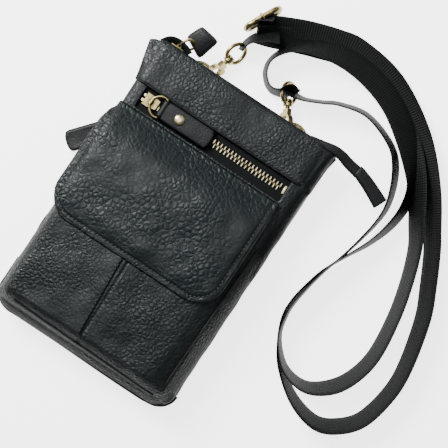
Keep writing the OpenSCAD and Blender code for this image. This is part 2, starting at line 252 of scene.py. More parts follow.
LEATHER = leather("pebbled_leather", (0.0006, 0.0012, 0.0015), (0.003, 0.0075, 0.0085),
                  depth=0.34, rough=0.36)
FLAP_LEATHER = leather("flap_leather", (0.0008, 0.0016, 0.002), (0.005, 0.0115, 0.013),
                       cell=3.2, depth=0.52, rough=0.36)
SMOOTH_LEATHER = leather("smooth_leather", (0.0005, 0.0007, 0.001), (0.002, 0.0032, 0.0038),
                         cell=1.6, depth=0.1)
LINING = weave("lining_cloth", (0.001, 0.001, 0.0012), (0.005, 0.005, 0.006), 0.5, 0.1)
TAPE = weave("zip_tape_cloth", (0.001, 0.0014, 0.0016), (0.005, 0.008, 0.009), 0.7, 0.16)
WEBBING = ribbed_webbing("ribbed_webbing", (0.0008, 0.001, 0.001), (0.0035, 0.0052, 0.0048))
BRASS = metal("antique_brass", (0.03, 0.022, 0.008), (0.36, 0.29, 0.13), 0.22)
PALE_BRASS = metal("pale_brass", (0.12, 0.09, 0.035), (0.72, 0.62, 0.38), 0.24)
THREAD = thread_material()
FLOOR = floor_material()


# ---- mesh helpers ----


def add_mesh(name, points, faces, material, body, smooth=True, uv=None):
    """A mesh object from points in millimetres. uv holds one pair per point."""
    mesh = bpy.data.meshes.new(name)
    mesh.from_pydata([tuple(p * MM) for p in np.asarray(points, float)], [], faces)
    mesh.validate()
    made = bpy.data.objects.new(name, mesh)
    bpy.context.collection.objects.link(made)
    mesh.materials.append(material)
    if uv is not None:
        layer = mesh.uv_layers.new(name="strap")
        for loop in mesh.loops:
            layer.data[loop.index].uv = uv[loop.vertex_index]
    for face in mesh.polygons:
        face.use_smooth = smooth
    if body:
        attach(made, body)
    return made


def grid_faces(rows, columns, closed=False):
    """Faces of a grid of points; closed joins the last column to the first."""
    faces = []
    for i in range(rows - 1):
        for j in range(columns if closed else columns - 1):
            k = (j + 1) % columns
            faces.append((i * columns + j, i * columns + k, (i + 1) * columns + k, (i + 1) * columns + j))
    return faces


def tube_faces(rows, sides):
    """Faces of rings of points joined in a row, with both ends closed."""
    faces = grid_faces(rows, sides, True)
    faces.append(tuple(reversed(range(sides))))
    faces.append(tuple((rows - 1) * sides + k for k in range(sides)))
    return faces


def slab(name, grid, thick, material, body, facing=1):
    """A closed sheet with a rolled edge: grid is its outer face, up for facing 1 and down for -1."""
    rows, columns = grid.shape[:2]
    along = np.gradient(grid, axis=1)
    down = np.gradient(grid, axis=0)
    normal = np.cross(along, down)
    normal /= np.linalg.norm(normal, axis=2, keepdims=True) + 1e-9
    if normal[:, :, 2].mean() * facing < 0:
        normal = -normal
    under = grid - normal * thick
    count = rows * columns
    border = list(range(columns))
    border += [i * columns + columns - 1 for i in range(1, rows)]
    border += [(rows - 1) * columns + j for j in range(columns - 2, -1, -1)]
    border += [i * columns for i in range(rows - 2, 0, -1)]
    flat = grid.reshape(-1, 3)
    low = under.reshape(-1, 3)
    ring_mid = (flat[border] + low[border]) / 2
    ahead = np.roll(ring_mid, -1, axis=0) - np.roll(ring_mid, 1, axis=0)
    out = np.cross(ahead, normal.reshape(-1, 3)[border])
    out /= np.linalg.norm(out, axis=1, keepdims=True) + 1e-9
    centre = flat.mean(axis=0)
    if ((ring_mid - centre) * out).sum() < 0:
        out = -out
    rolled = ring_mid + out * thick * 0.5
    points = np.concatenate([flat, low, rolled])
    faces = grid_faces(rows, columns)
    faces += [tuple(count + v for v in reversed(f)) for f in grid_faces(rows, columns)]
    size = len(border)
    for k in range(size):
        a, b = border[k], border[(k + 1) % size]
        m, n = 2 * count + k, 2 * count + (k + 1) % size
        faces.append((a, m, n, b))
        faces.append((m, count + a, count + b, n))
    made = add_mesh(name, points, faces, material, body)
    fix_normals(made)
    return made


def fix_normals(made):
    """Turns every face of a mesh outwards."""
    work = bmesh.new()
    work.from_mesh(made.data)
    bmesh.ops.recalc_face_normals(work, faces=work.faces)
    work.to_mesh(made.data)
    work.free()


def rough_noise(x, y, scale, seed=0.0):
    """Smooth fixed noise, about -1 to 1, with bumps 1 / scale apart."""
    return noise.noise(Vector((x * scale + seed, y * scale - seed, seed)))


def ease(t):
    """0 to 1 with soft ends."""
    t = np.clip(t, 0.0, 1.0)
    return t * t * (3 - 2 * t)


def curve_points(guide, step=2.0):
    """Points every step along a smooth curve through the guide points."""
    g = np.array(guide, float)
    g = np.vstack([2 * g[0] - g[1], g, 2 * g[-1] - g[-2]])
    fine = []
    for before, here, after, later in zip(g, g[1:], g[2:], g[3:]):
        for t in np.linspace(0, 1, 24, endpoint=False):
            fine.append(0.5 * (2 * here + (after - before) * t
                               + (2 * before - 5 * here + 4 * after - later) * t * t
                               + (3 * here - before - 3 * after + later) * t ** 3))
    fine.append(g[-2])
    fine = np.array(fine)
    lengths = np.concatenate([[0], np.cumsum(np.linalg.norm(np.diff(fine[:, :3], axis=0), axis=1))])
    wanted = np.linspace(0, lengths[-1], max(3, int(lengths[-1] / step) + 1))
    return np.stack([np.interp(wanted, lengths, fine[:, k]) for k in range(g.shape[1])], axis=1)


def circle(sides):
    """The cosine and sine of evenly spaced turns."""
    return [(math.cos(a), math.sin(a)) for a in np.linspace(0, 2 * math.pi, sides, endpoint=False)]


def tube(name, guide, radius, material, body, closed=False, step=0.7, sides=12):
    """A round wire along a curve."""
    line = curve_points(list(guide) + ([guide[0]] if closed else []), step)
    if closed:
        line = line[:-1]
    ahead = np.roll(line, -1, axis=0) - np.roll(line, 1, axis=0)
    if not closed:
        ahead[0] = line[1] - line[0]
        ahead[-1] = line[-1] - line[-2]
    ahead /= np.linalg.norm(ahead, axis=1, keepdims=True)
    side = np.cross(ahead[0], [0.3, 0.2, 0.93])
    points = []
    for here, tangent in zip(line, ahead):
        side = side - tangent * side.dot(tangent)
        side /= np.linalg.norm(side)
        other = np.cross(tangent, side)
        points += [here + radius * (side * u + other * v) for u, v in circle(sides)]
    rows = len(line)
    if closed:
        last = (rows - 1) * sides
        faces = grid_faces(rows, sides, True)
        faces += [(last + k, last + (k + 1) % sides, (k + 1) % sides, k) for k in range(sides)]
    else:
        faces = tube_faces(rows, sides)
    made = add_mesh(name, points, faces, material, body)
    fix_normals(made)
    return made


def stitches(name, line, body, pitch=2.5, length=1.7, radius=0.3, lift=0.05):
    """Separate threads laid along a line of points, each a short spindle."""
    path = curve_points(line, pitch)
    points, faces = [], []
    rings = [(-1, 0.05), (-0.8, 0.7), (0, 1), (0.8, 0.7), (1, 0.05)]
    sides = 6
    for here, there in zip(path[:-1], path[1:]):
        mid = (here + there) / 2
        ahead = (there - here) / (np.linalg.norm(there - here) + 1e-9)
        side = np.cross(ahead, [0, 0, 1.0])
        side /= np.linalg.norm(side) + 1e-9
        up = np.cross(side, ahead)
        base = len(points)
        for share, r in rings:
            centre = mid + ahead * share * length / 2 + up * lift
            points += [centre + radius * r * (side * u + up * v) for u, v in circle(sides)]
        faces += [tuple(base + v for v in f) for f in tube_faces(len(rings), sides)]
    return add_mesh(name, points, faces, THREAD, body)


def ribbon(name, guide, width, material, body, thick=1.1, step=1.2, width_end=None):
    """A flat strap. Each guide row is x, y, z and the lean of its width from level, in degrees."""
    return ribbon_along(name, curve_points(guide, step), width, material, body, thick, width_end)


def ribbon_along(name, rows, width, material, body, thick=1.1, width_end=None):
    """A flat strap through evenly spaced rows, with its width changing evenly to width_end."""
    line, lean = rows[:, :3], np.radians(rows[:, 3])
    ahead = np.gradient(line, axis=0)
    ahead /= np.linalg.norm(ahead, axis=1, keepdims=True)
    flat = np.cross([0, 0, 1.0], ahead)
    flat /= np.linalg.norm(flat, axis=1, keepdims=True) + 1e-9
    up = np.cross(ahead, flat)
    side = flat * np.cos(lean)[:, None] + up * np.sin(lean)[:, None]
    face = np.cross(ahead, side)
    share = np.linspace(0, 1, len(line))
    wide = width + ((width if width_end is None else width_end) - width) * share
    profile = [(u, 0.5 - 0.5 * abs(u) ** 8) for u in np.linspace(-1, 1, 9)]
    loop = profile + [(u, -h) for u, h in reversed(profile)]
    points, uv = [], []
    run = np.concatenate([[0], np.cumsum(np.linalg.norm(np.diff(line, axis=0), axis=1))])
    for i in range(len(line)):
        for u, h in loop:
            points.append(line[i] + side[i] * u * wide[i] / 2 + face[i] * h * thick)
            uv.append(((u + 1) / 2, run[i]))
    made = add_mesh(name, points, tube_faces(len(line), len(loop)), material, body, uv=uv)
    fix_normals(made)
    return made


SHARP = math.radians(35)


def refined(node, material, bevel):
    """A copy of a CAD piece with eased edges, standing for the piece itself."""
    source = frame["nodes"][node]
    made = bpy.data.objects.new(node + "_finished", source.data.copy())
    bpy.context.collection.objects.link(made)
    made.data.materials.clear()
    made.data.materials.append(material)
    work = bmesh.new()
    work.from_mesh(made.data)
    bmesh.ops.remove_doubles(work, verts=work.verts, dist=0.002 * MM)
    bmesh.ops.dissolve_limit(work, angle_limit=math.radians(1.0), verts=work.verts, edges=work.edges)
    for face in work.faces:
        face.smooth = True
    for edge in work.edges:
        if len(edge.link_faces) == 2 and edge.calc_face_angle(0) > SHARP:
            edge.smooth = False
    work.to_mesh(made.data)
    work.free()
    if bevel:
        modifier = made.modifiers.new("eased_edges", "BEVEL")
        modifier.width = bevel * MM
        modifier.segments = 2
        modifier.limit_method = "ANGLE"
        modifier.angle_limit = SHARP
    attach(made, frame_body(node))
    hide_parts(node)


def frame_body(node):
    """The name of the body that holds a CAD piece."""
    for name, nodes in frame["record"]["behaviour"]["bodies"].items():
        if node in nodes:
            return name
    raise ValueError(node)


# ---- pouch body ----

# How far in the front leather starts to roll down to each side.
LEFT_ROLL, RIGHT_ROLL = 5.0, 13.0
# Left, right, low and high edges of the zip windows.
FRONT_WINDOW = (-54.0, 49.0, 52.0, 66.0)
BACK_WINDOW = (-58.0, 49.0, 36.5, 50.5)
LINING_INSET, LINING_TOP = 3.1, 54


def half_width(y):
    """Half the pouch's width, narrowing round the bottom corners."""
    up = min(max(y - BOTTOM, 0.0), CORNER_R)
    return HALF_W - CORNER_R + math.sqrt(CORNER_R ** 2 - (CORNER_R - up) ** 2)


def front_base(y):
    """Height of the front leather down the middle of the pouch, without its wrinkles."""
    return float(np.interp(y, [-93, -91.5, -89, -85, -80], [13.0, 16.5, 19.3, 21.7, FRONT_Z]))


def back_base(y):
    """Height of the back leather, which rises to leave room for the back zip and towards the top edge."""
    return float(np.interp(y, [-93, -90, -85, 0, 4, 54, 94], [4.5, 1.6, 0.2, 0.0, 2.8, 2.8, BACK_TOP_Z]))


def front_wrinkle(x, y):
    """Soft unevenness of the front leather."""
    return 0.5 * rough_noise(x, y, 0.045, 3) + 0.22 * rough_noise(x, y, 0.16, 7)


def front_z(x, y):
    """Height of the front leather where it is flat or rolls down to a side."""
    top = front_base(y) + front_wrinkle(x, y) * ease(top_fade(y))
    wide = half_width(y)
    right = max(0.0, x - (wide - RIGHT_ROLL)) / RIGHT_ROLL
    left = max(0.0, -x - (wide - LEFT_ROLL)) / LEFT_ROLL
    drop = (1 - math.sqrt(max(0.0, 1 - right ** 2))) * RIGHT_ROLL * 0.9
    drop += (1 - math.sqrt(max(0.0, 1 - left ** 2))) * LEFT_ROLL
    return float(top - drop)


def top_fade(y):
    """0 along the middle of the front zip, where the leather is held flat, and 1 away from it."""
    return min(1.0, abs(y - 59) / 14)


def arc(x, z, radius, start, end, count):
    """Points round x, z, at angles in degrees from the front towards the right side."""
    angles = np.radians(np.linspace(start, end, count))
    return [(x + radius * math.sin(a), z + radius * math.cos(a)) for a in angles]


def section(y, inset):
    """One closed ring round the pouch at height y, drawn in by inset."""
    wide = half_width(y) - inset
    front, back = front_base(y) - inset, back_base(y) + inset
    deep = front - back
    right = min(RIGHT_ROLL, deep * 0.55)
    left = min(LEFT_ROLL, deep * 0.4)
    low = min(4.0, deep * 0.3)
    share = wide / HALF_W
    ring = [(x * share, back) for x in BACK_COLUMNS]
    ring += arc(wide - low, back + low, low, 180, 90, 6)[1:]
    ring += [(wide, z) for z in np.linspace(back + low, front - right, 5)[1:]]
    ring += arc(wide - right, front - right, right, 90, 0, 11)[1:-1]
    ring += [(x * share, front) for x in FRONT_COLUMNS]
    ring += arc(left - wide, front - left, left, 0, -90, 8)[1:-1]
    ring += [(-wide, z) for z in np.linspace(front - left, back + low, 6)]
    ring += arc(low - wide, back + low, low, -90, -180, 6)[1:-1]
    points = []
    for x, z in ring:
        push = front_wrinkle(x, y) * float(ease(top_fade(y)))
        if z > front - 1:
            z += push
        elif abs(x) > wide - 1.5:
            x += math.copysign(1, x) * (0.9 * rough_noise(z * 1.5, y, 0.07, 11) - 0.5)
        points.append((x, y, z))
    return points


FRONT_COLUMNS = sorted([50.0, 49.0, -54.0] + list(np.linspace(-57.5, 47.5, 43)), reverse=True)
BACK_COLUMNS = sorted([49.0, -58.0] + list(np.linspace(-59, 59, 32)))
STATIONS = sorted([-93, -92.4, -91.5, -90.2, -88.6, -86.6, -84.2, 36.5, 50.5, 52, 66, 94]
                  + list(np.arange(-81.5, 93, 2.5)))


def in_window(window, x, y):
    return window[0] < x < window[1] and window[2] < y < window[3]


def body_shell(name, inset, thick, material, top, windows):
    """The pouch's wall up to the height top, with the two zip windows cut out of it if asked."""
    rows = [y for y in STATIONS if y <= top + 0.1]
    rings = [section(y + (inset if y < -84 else 0), inset) for y in rows]
    count = len(rings[0])
    points = np.array(rings).reshape(-1, 3)
    faces = []
    for face in grid_faces(len(rings), count, True):
        x, y, z = points[list(face)].mean(axis=0)
        if windows and z > 18 and in_window(FRONT_WINDOW, x, y):
            continue
        if windows and z < 6 and in_window(BACK_WINDOW, x, y):
            continue
        faces.append(face)
    faces.append(tuple(reversed(range(count))))
    made = add_mesh(name, points, faces, material, "pouch")
    solid = made.modifiers.new("leather_thickness", "SOLIDIFY")
    solid.thickness = thick * MM
    solid.offset = -1
    fix_normals(made)
    return made


def pocket_bag(name, node):
    """A thin cloth bag in the space of a pocket's lining, plump in its middle."""
    low, high = box_mm(node)
    middle, half = (low + high) / 2, (high - low) / 2
    rows, sides = 14, 24
    points = []
    for share in np.linspace(0, 1, rows):
        plump = half[2] * (0.35 + 0.65 * math.sin(math.pi * min(1.0, 0.12 + 0.88 * share) ** 0.8) ** 0.5)
        for u, v in circle(sides):
            x = math.copysign(abs(u) ** 0.3, u)
            z = math.copysign(abs(v) ** 0.6, v)
            points.append((middle[0] + half[0] * x, low[1] + 2 * half[1] * share, middle[2] + plump * z))
    made = add_mesh(name, points, tube_faces(rows, sides), LINING, "pouch")
    fix_normals(made)
    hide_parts(node)


def front_stitches(name, points):
    """Stitches on the front leather over a flat line of X, Y."""
    flat = curve_points([(x, y, 0) for x, y in points])
    stitches(name, [(x, y, front_z(x, y) + 0.1) for x, y, _ in flat], "pouch")


def build_pouch():
    shell = body_shell("pouch_shell", 0.0, WALL, LEATHER, TOP, windows=True)
    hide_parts("back_panel", "gusset", "front_panel")
    lining = body_shell("pouch_lining", LINING_INSET, 0.4, LINING, LINING_TOP, windows=False)
    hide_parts("main_lining")
    pocket_bag("back_pocket_bag", "back_pocket_lining")
    pocket_bag("front_pocket_bag", "front_pocket_lining")


def build_window_stitching():
    """Three rows of stitches round the front window. The band's own stitching is the fourth."""
    left, right, low, high = FRONT_WINDOW
    middle = low + 7
    front_stitches("window_low_stitching", [(x, low - 1.3) for x in np.arange(left - 6, right + 3, 5.0)])
    front_stitches("window_end_stitching", [(right + 1.6, y) for y in (low, middle, high)])
    front_stitches("window_start_stitching", [(left - 1.6, y) for y in (low, middle, high)])


def band_left(y):
    """Left edge of the top band, which flares out to its upper corner."""
    return float(np.interp(y, [66, 78, 90.5, 95], [-63.2, -65.2, -68.2, -60.5]))


def band_right(y):
    """Right edge of the top band."""
    return float(np.interp(y, [66, 84, 92, 95], [62.6, 63.0, 64.4, 62.0]))


BAND_COLUMNS = 56
BAND_ROLL_Y = 90.5


def build_top_band():
    """The band above the front window, with its upper edge rolled back and down."""
    rows = list(np.linspace(66.3, BAND_ROLL_Y, 12)) + [92, 93.3, 94.4, 95.0]
    grid = []
    for y in rows:
        left, right = band_left(y), band_right(y)
        line = []
        for u in np.linspace(0, 1, BAND_COLUMNS):
            x = left + (right - left) * u
            inside = max(-half_width(y) + 0.3, min(half_width(y) - 0.3, x))
            z = front_z(inside, y) + 0.75
            z += 0.35 * math.sin(math.pi * (y - 66) / 29)
            z += 0.8 * rough_noise(x, y, 0.05, 21) + 0.3 * rough_noise(x, y, 0.14, 5)
            if y > BAND_ROLL_Y:
                z -= 1.3 * ((y - BAND_ROLL_Y) / 4.5) ** 2
            if x < -HALF_W:
                z = front_z(-HALF_W + 0.3, y) + 0.9 + (-HALF_W - x) * 0.1
            line.append((x, y, z))
        grid.append(line)
    grid = np.array(grid)
    band = slab("top_band_sheet", grid, 1.3, LEATHER, "pouch")
    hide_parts("top_band")

    def over(x, y):
        """The point of the band's outer face above x, y."""
        i = float(np.interp(y, rows, range(len(rows))))
        j = (x - band_left(y)) / (band_right(y) - band_left(y)) * (BAND_COLUMNS - 1)
        a, b = int(min(i, len(rows) - 2)), int(min(max(j, 0), BAND_COLUMNS - 2))
        s, t = i - a, j - b
        near = grid[a, b, 2] * (1 - s) + grid[a + 1, b, 2] * s
        far = grid[a, b + 1, 2] * (1 - s) + grid[a + 1, b + 1, 2] * s
        return x, y, float(near * (1 - t) + far * t)

    stitches("band_top_stitching", [over(x, 91.8) for x in np.arange(-65, 62, 3.0)], "pouch")
    stitches("band_low_stitching", [over(x, 68.6) for x in np.arange(-61, 58, 3.0)], "pouch")
    tube("band_low_edge", [over(x, 66.6) for x in np.arange(-62.5, 55, 4.0)], 0.55, SMOOTH_LEATHER, "pouch")


# ---- front pocket ----

POCKET_X = (-62.3, 61.5)
POCKET_Y = (-88.5, 30.0)


def pocket_z(x, y):
    """Height of the front pocket's leather over the table."""
    left = ease((x - POCKET_X[0]) / 7) ** 0.5
    run = (POCKET_X[1] - x) / 17
    right = float(np.interp(run, [0, 0.42, 0.5, 1.0, 1.4], [0.0, 0.52, 0.57, 0.93, 1.0]))
    low = ease((y - POCKET_Y[0]) / 11) ** 0.5
    corner_left = math.hypot(min(0, x - POCKET_X[0] - 12), min(0, y - POCKET_Y[0] - 12))
    corner_right = math.hypot(min(0, POCKET_X[1] - 14 - x), min(0, y - POCKET_Y[0] - 14))
    corner = 1 - ease(max(corner_left - 8, 0) / 5) * 0.5 - ease(max(corner_right - 10, 0) / 5) * 0.5
    upper = 1 - ease((y - 4) / 22) * ease((x - 45) / 7)
    fill = float(left * right * low * corner * upper)
    wide = min(half_width(y), 62.5)
    inside = max(-wide + 0.2, min(wide - 0.2, x))
    ground = front_z(inside, max(y, -91)) - 0.3
    crown = 1.1 * math.exp(-((x + 8) / 38) ** 2 - ((y + 45) / 34) ** 2)
    sag = 0.9 * rough_noise(x, y, 0.05, 31) + 0.4 * rough_noise(x, y, 0.12, 13)
    pleat = pleat_x(y)
    step = 0.55 * (1 - ease((x - pleat) / 1.2)) * ease((-22 - y) / 4) * math.exp(-((x - pleat) / 9) ** 2)
    groove = -0.8 * math.exp(-((x - pleat) / 0.7) ** 2) * ease((-20 - y) / 4)
    other = -0.5 * math.exp(-((x - pleat - pleat_gap(y)) / 0.8) ** 2) * ease((-20 - y) / 4)
    face = FACE_Z + crown + sag + float(step + groove + other)
    return ground + (face - ground) * fill


def pleat_x(y):
    """Where the centre pleat's fold runs."""
    return float(np.interp(y, [-84, -26], [-5.2, -8.7]))


def pleat_gap(y):
    """Width between the pleat's fold and the groove beside it."""
    return float(np.interp(y, [-84, -26], [0.9, 3.3]))


def build_pocket():
    """The full front pocket: one sheet for its face and sides, its pleat's stitches and its seams."""
    rows = np.concatenate([np.linspace(POCKET_Y[0], -72, 22), np.linspace(-70, POCKET_Y[1], 60)])
    grid = []
    for y in rows:
        wide = half_width(max(y, BOTTOM + 1.5)) - 0.6
        left, right = max(POCKET_X[0], -wide), min(POCKET_X[1], wide)
        spans = ((left, -45, 19), (-45, -14, 17), (-14, -1, 26), (-1, 42, 25), (42, right, 21))
        columns = [x for start, end, count in spans for x in np.linspace(start, end, count, endpoint=False)]
        grid.append([(x, y, pocket_z(x, y)) for x in columns + [right]])
    sheet = slab("pocket_leather", np.array(grid), 1.2, LEATHER, "pouch")
    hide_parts("pocket_face", "pocket_gusset")
    for name, shift in (("pleat_stitching_left", -1.3), ("pleat_stitching_right", 4.4)):
        line = [(pleat_x(y) + shift, y, pocket_z(pleat_x(y) + shift, y)) for y in np.arange(-28, -83, -3.0)]
        stitches(name, line, "pouch", radius=0.26)
    seam = [(54.0 + 0.02 * y, y, pocket_z(54.0 + 0.02 * y, y) + 0.2) for y in np.arange(20, -80, -5.0)]
    tube("pocket_side_seam", seam, 0.55, SMOOTH_LEATHER, "pouch")
    low = [(x, -84.6 - 0.02 * x, pocket_z(x, -84.6 - 0.02 * x) + 0.3) for x in np.arange(-50, 52, 4.0)]
    tube("pocket_low_seam", low, 0.6, SMOOTH_LEATHER, "pouch")


def build_bottom_binding():
    """A bound seam round the bottom of the pouch."""
    line = []
    for y in np.arange(-62, -80, -3.0):
        line.append((-half_width(y) + 0.3, y, front_base(y) - 6.0))
    corner = []
    for a in np.radians(np.linspace(0, 90, 8)):
        y = BOTTOM + 0.6 + (CORNER_R - 0.6) * (1 - math.sin(a))
        corner.append((HALF_W - CORNER_R * (1 - math.cos(a)), y, 15.4 - 2 * math.sin(a)))
    line += [(-x, y, z) for x, y, z in corner]
    for x in np.arange(-44, 48, 6.0):
        line.append((x, BOTTOM + 0.5 - 0.4 * math.sin(x * 0.05), 13.4))
    line += reversed(corner)
    tube("bottom_binding", line, 0.75, SMOOTH_LEATHER, "pouch", step=1.5)


# ---- flap ----

FLAP_TOP = 50.0
FLAP_R = 17.0
STITCH_IN = 2.9


def flap_edges(y, inset=0.0):
    """Left and right ends of the flap at y, drawn in by inset."""
    left, right = FLAP_LOW[0] + inset, FLAP_HIGH[0] - inset
    low, r = FLAP_LOW[1] + inset, FLAP_R - inset
    up = min(max(y - low, 0.0), r)
    turn = r - math.sqrt(max(0.0, r * r - (r - up) ** 2))
    return left + turn + 3.4 * float(ease((y - 34) / 16)), right - turn


def edge_distance(x, y):
    """How far a point of the flap is from its free outline."""
    left, right, low = FLAP_LOW[0], FLAP_HIGH[0], FLAP_LOW[1]
    inner_x = min(x - left, right - x)
    if inner_x < FLAP_R and y < low + FLAP_R:
        return FLAP_R - math.hypot(FLAP_R - inner_x, low + FLAP_R - y)
    return min(inner_x, y - low)


def flap_z(x, y):
    """Outer face of the flap: sewn low at the top, resting on the full pocket below."""
    rest = FLAP_HIGH[2] - 0.4
    along = float(ease((50.5 - y) / 25) ** 0.75)
    z = 24.9 + (rest - 24.9) * along
    z += (0.9 - 1.5 * abs((x + 8) / 58) ** 3) * along
    z -= 1.82 * along * float(ease((-14 - y) / 14))
    z -= 2.2 * along * float(ease((-58 - x) / 8)) + 1.2 * along * float(ease((x - 43) / 8))
    z += along * (0.9 * rough_noise(x, y, 0.045, 51) + 0.45 * rough_noise(x, y, 0.11, 43))
    z -= 0.55 * math.exp(-((edge_distance(x, y) - STITCH_IN) / 0.75) ** 2)
    return z


def flap_grid(inset, drop, straight_rows, columns):
    """Points of the flap drawn in by inset and lowered by drop, close together round its corners."""
    low = FLAP_LOW[1] + inset
    rows = np.concatenate([low + FLAP_R * (1 - np.cos(np.linspace(0.04, math.pi / 2, 30))),
                           np.linspace(low + FLAP_R + 1.5, FLAP_TOP, straight_rows)])
    grid = []
    for y in rows:
        left, right = flap_edges(y, inset)
        grid.append([(x, y, flap_z(x, y) - drop) for x in np.linspace(left, right, columns)])
    return np.array(grid)


def bend_flap(piece):
    """Bakes a flap sheet's placement into its mesh."""
    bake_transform(piece)


def build_flap():
    leather_sheet = slab("flap_leather", flap_grid(0.0, 0.0, 56, 136), 1.5, FLAP_LEATHER, None)
    bend_flap(leather_sheet)
    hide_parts("flap")
    lining = slab("flap_lining_sheet", flap_grid(1.6, 1.6, 30, 40), 0.5, LINING, None)
    bend_flap(lining)
    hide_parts("flap_lining")
    low, r = FLAP_LOW[1] + STITCH_IN, FLAP_R - STITCH_IN
    left, right = FLAP_LOW[0] + STITCH_IN, FLAP_HIGH[0] - STITCH_IN
    turn = np.linspace(0, math.pi / 2, 9)
    line = [(left, y) for y in np.arange(46, low + r, -4.0)]
    line += [(left + r - r * math.cos(a), low + r - r * math.sin(a)) for a in turn]
    line += [(x, low) for x in np.arange(left + r + 4, right - r, 4.0)]
    line += [(right - r + r * math.sin(a), low + r - r * math.cos(a)) for a in turn]
    line += [(right, y) for y in np.arange(low + r + 4, 47, 4.0)]
    thread = stitches("flap_stitching", [(x, y, flap_z(x, y)) for x, y in line], None, radius=0.4, lift=0.15)
    bend_flap(thread)
    for node in ("snap_stud", "snap_socket"):
        refined(node, BRASS, 0.15)


# ---- zips ----


def placed(at, *turns):
    """A frame in millimetres: moved to at, then turned about each named axis by the given degrees."""
    made = Matrix.Translation(Vector(at))
    for axis, angle in turns:
        made = made @ Matrix.Rotation(math.radians(angle), 4, axis)
    return made


def through(frame_matrix, points):
    """Points moved out of a local frame."""
    return [tuple(frame_matrix @ Vector(p)) for p in points]


# Each zip's frame: its slider at the origin, its chain along X and its outer face towards Z.
FRONT_ZIP = placed((-47, 59.5, 21.05))
TOP_ZIP = placed((-52, 94, 17.4), ("X", -90))
BACK_ZIP = placed((-52, 43.5, 4.75), ("X", 180))
# Height of the pull ring over the zip, and how far its outer bar is from the slider.
PULL_Z = 3.05
RING_REACH = 8.5
RIVET_PAST_BAR = 11.5
BACK_PULL = BACK_ZIP @ Matrix.Rotation(math.radians(130), 4, "Z")


def tapes(zip_name, at, x1, x2, reach):
    """Two cloth tapes on either side of the chain."""
    for side, word in ((-1, "low"), (1, "high")):
        grid = []
        for y in np.linspace(0.45, reach, 6):
            line = []
            for x in np.linspace(x1, x2, 40):
                z = 0.25 + 0.22 * rough_noise(x, y * side, 0.1, 3) * (y / reach)
                line.append(tuple(at @ Vector((x, side * y, z))))
            grid.append(line)
        slab(f"{zip_name}_tape_{word}", np.array(grid), 0.5, TAPE, "pouch")
    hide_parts(f"{zip_name}_zip_tape")


def wire_ring(name, points, radius, body, node):
    """A closed ring of round brass wire."""
    ring = tube(name, points, radius, BRASS, body, closed=True, step=0.5, sides=14)
    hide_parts(node)


RING_LOOP = [(x, y, PULL_Z) for x, y in (
    (-0.1, -1.6), (-0.1, 1.6), (1.2, 4.2), (4.2, 6.3), (7.4, 6.2), (RING_REACH, 4.4), (RING_REACH, 0),
    (RING_REACH, -4.4), (7.4, -6.2), (4.2, -6.3), (1.2, -4.2))]


TAB_BEHIND_BAR = 0.8


def tab_grid(length, width, rise):
    """A strip of leather with rounded end corners, a little arched, along +X from the ring's bar."""
    corner = 2.2
    grid = []
    for x in np.linspace(0, 1, 26) ** 0.9 * length:
        near = min(1.0, (length - x) / corner)
        half = width / 2 - (1 - math.sqrt(max(0.0, 1 - (1 - near) ** 2))) * corner
        waist = 1 - 0.1 * math.exp(-(x / 3.5) ** 2)
        line = []
        for u in np.linspace(-1, 1, 13):
            z = PULL_Z + rise + 0.4 * (1 - u * u) - 0.5 * (x / length) ** 2
            z += 0.15 * rough_noise(x, u * 6, 0.2, 9)
            line.append((RING_REACH - TAB_BEHIND_BAR + x, u * half * waist, z))
        grid.append(line)
    return grid


def pull_tab(name, at, length, width, body, node, rise, thick, facing=1):
    """A leather pull: its strip, a row of stitches down each side and the fold round the ring's bar."""
    grid = [through(at, row) for row in tab_grid(length, width, rise)]
    tab = slab(name, np.array(grid), thick, SMOOTH_LEATHER, body, facing)
    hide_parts(node)
    for side, word in ((-1, "left"), (1, "right")):
        line = [(RING_REACH - TAB_BEHIND_BAR + x, side * (width / 2 - 1.5), PULL_Z + rise + 0.1)
                for x in np.arange(4, length - 2, 3.0)]
        stitches(f"{name}_stitching_{word}", through(at, line), body, pitch=2.2, length=1.4, radius=0.22)
    fold = []
    for a in np.radians(np.linspace(-60, 240, 14)):
        x = RING_REACH - 1.45 * math.sin(a) - 0.2
        z = PULL_Z + 1.45 * math.cos(a)
        fold.append(through(at, [(x, y, z) for y in np.linspace(-0.44, 0.44, 7) * width]))
    slab(f"{name}_fold", np.array(fold), 0.8, SMOOTH_LEATHER, body)


TOOTH_PITCH = 2.5
TOOTH_WIDTH = 0.95


def chain_teeth(zip_name, at, first, count):
    """Two rows of metal teeth that mesh along the middle of the chain."""
    # Each row is how far a section is from the chain's middle, its share of the width, and its height.
    sections = ((-0.45, 0.42, 0.75), (0.45, 0.55, 1.0), (1.6, 0.45, 1.0), (2.4, 0.5, 0.95), (2.7, 0.4, 0.7))
    outline = ((-1, -1), (-1, 0.6), (-0.6, 1), (0.6, 1), (1, 0.6), (1, -1))
    points, faces = [], []
    for i in range(2 * count):
        side = 1 if i % 2 else -1
        x = first + i * TOOTH_PITCH / 2
        base = len(points)
        for y, share, z in sections:
            for dx, dz in outline:
                points.append(at @ Vector((x + dx * share * TOOTH_WIDTH, side * y, dz * z)))
        faces += [tuple(base + v for v in f) for f in tube_faces(len(sections), len(outline))]
    made = add_mesh(f"{zip_name}_teeth_row", points, faces, PALE_BRASS, "pouch", smooth=False)
    fix_normals(made)
    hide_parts(f"{zip_name}_zip_teeth")


